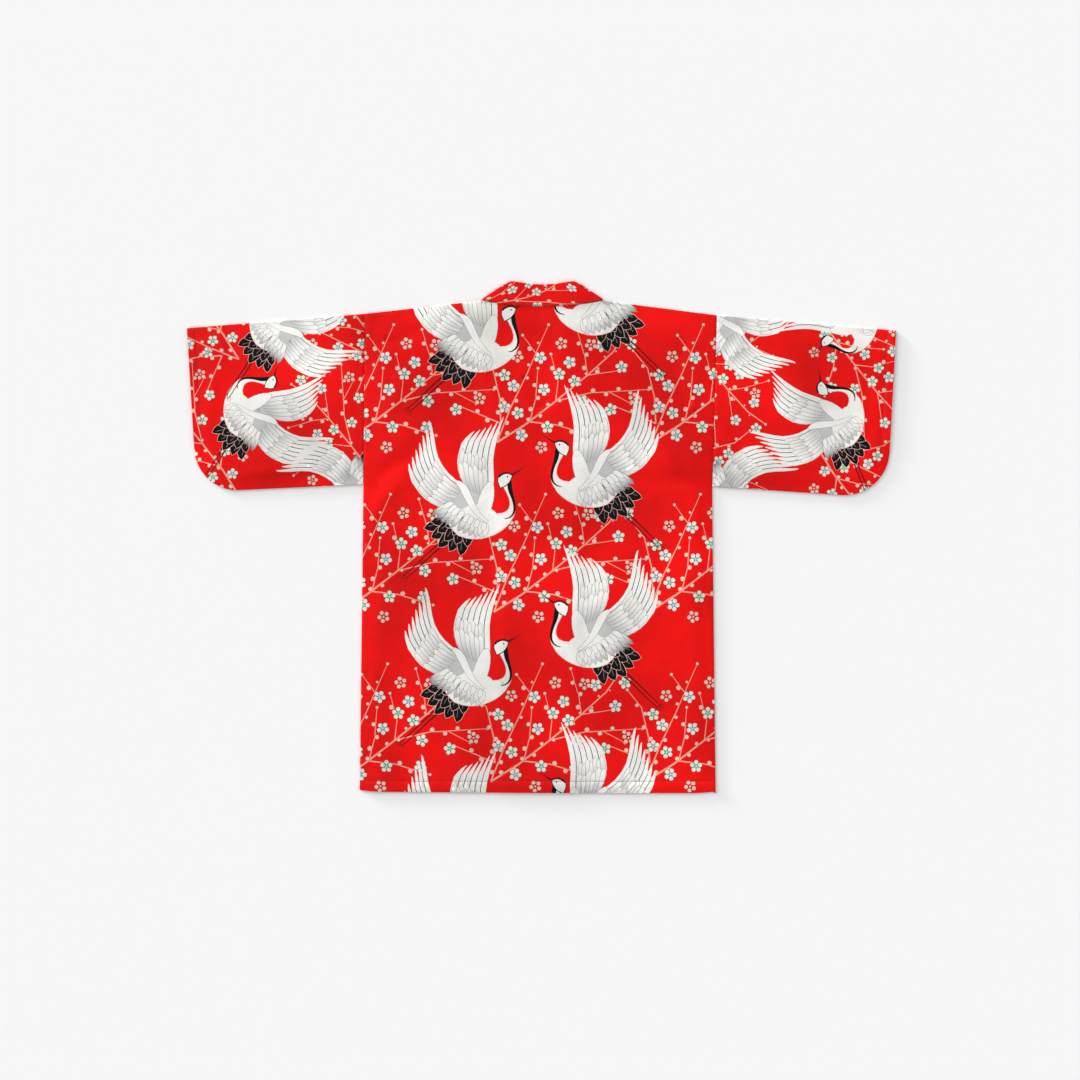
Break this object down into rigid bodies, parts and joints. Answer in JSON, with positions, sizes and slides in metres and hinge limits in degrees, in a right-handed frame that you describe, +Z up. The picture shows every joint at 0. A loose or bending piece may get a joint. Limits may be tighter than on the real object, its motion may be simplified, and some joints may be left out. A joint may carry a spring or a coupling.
{
  "type": "short kimono coat",
  "caption": "Short kimono coat laid flat and face down: one back panel over two fronts, wide square sleeves with a round lower corner, and one collar band folded over at the neck.",
  "frame": {"origin": "middle of the coat's footprint, on the surface that it lies on", "axes": "+X across the back towards the sleeve on the right as the back is seen, +Y from the hem to the collar, +Z up from the surface"},
  "size_m": [1.205, 0.8697, 0.0066],
  "materials": {
    "printed_cloth": "smooth plain weave with a soft sheen, bright red with a printed pattern of cranes and plum twigs"
  },
  "bodies": {
    "root": {"back": "printed_cloth", "front_left": "printed_cloth", "front_right": "printed_cloth", "sleeve_left": "printed_cloth", "sleeve_right": "printed_cloth", "collar": "printed_cloth"}
  },
  "joints": []
}
